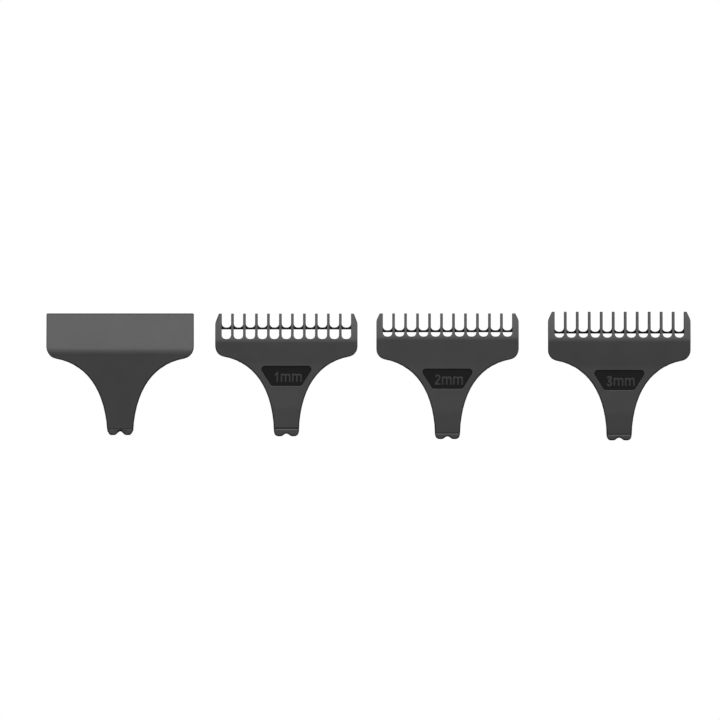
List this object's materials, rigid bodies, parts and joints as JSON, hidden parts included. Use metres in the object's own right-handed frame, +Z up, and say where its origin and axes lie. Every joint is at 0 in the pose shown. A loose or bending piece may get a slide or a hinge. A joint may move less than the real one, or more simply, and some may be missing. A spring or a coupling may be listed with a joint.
{
  "type": "hair clipper attachment set",
  "caption": "Hair clipper attachments: a closed blade cover and guide combs that hold the blade one, two or three millimetres off the skin.",
  "frame": {"origin": "centre of the row's footprint, on the surface that the attachments lie on", "axes": "+X along the row from the blade cover to the 3 mm comb, +Y from the feet to the teeth, +Z up from the surface, towards the outer faces"},
  "size_m": [0.1946, 0.0388, 0.0084],
  "materials": {
    "cover_plastic": "fine matte texture, dark grey",
    "comb_plastic": "fine matte texture, dark grey",
    "label_gloss": "polished floor of the sunken size label, same plastic"
  },
  "bodies": {
    "blade_cover": {"blade_cover": "cover_plastic"},
    "comb_1mm": {"comb_1mm": "comb_plastic"},
    "comb_2mm": {"comb_2mm": "comb_plastic"},
    "comb_3mm": {"comb_3mm": "comb_plastic"}
  },
  "joints": [
    {"name": "comb_1mm_lift", "type": "slide", "parent": "blade_cover", "child": "comb_1mm", "axis": [0, 0, 1], "range_m": [0, 0.06]},
    {"name": "comb_2mm_lift", "type": "slide", "parent": "blade_cover", "child": "comb_2mm", "axis": [0, 0, 1], "range_m": [0, 0.06]},
    {"name": "comb_3mm_lift", "type": "slide", "parent": "blade_cover", "child": "comb_3mm", "axis": [0, 0, 1], "range_m": [0, 0.06]}
  ]
}
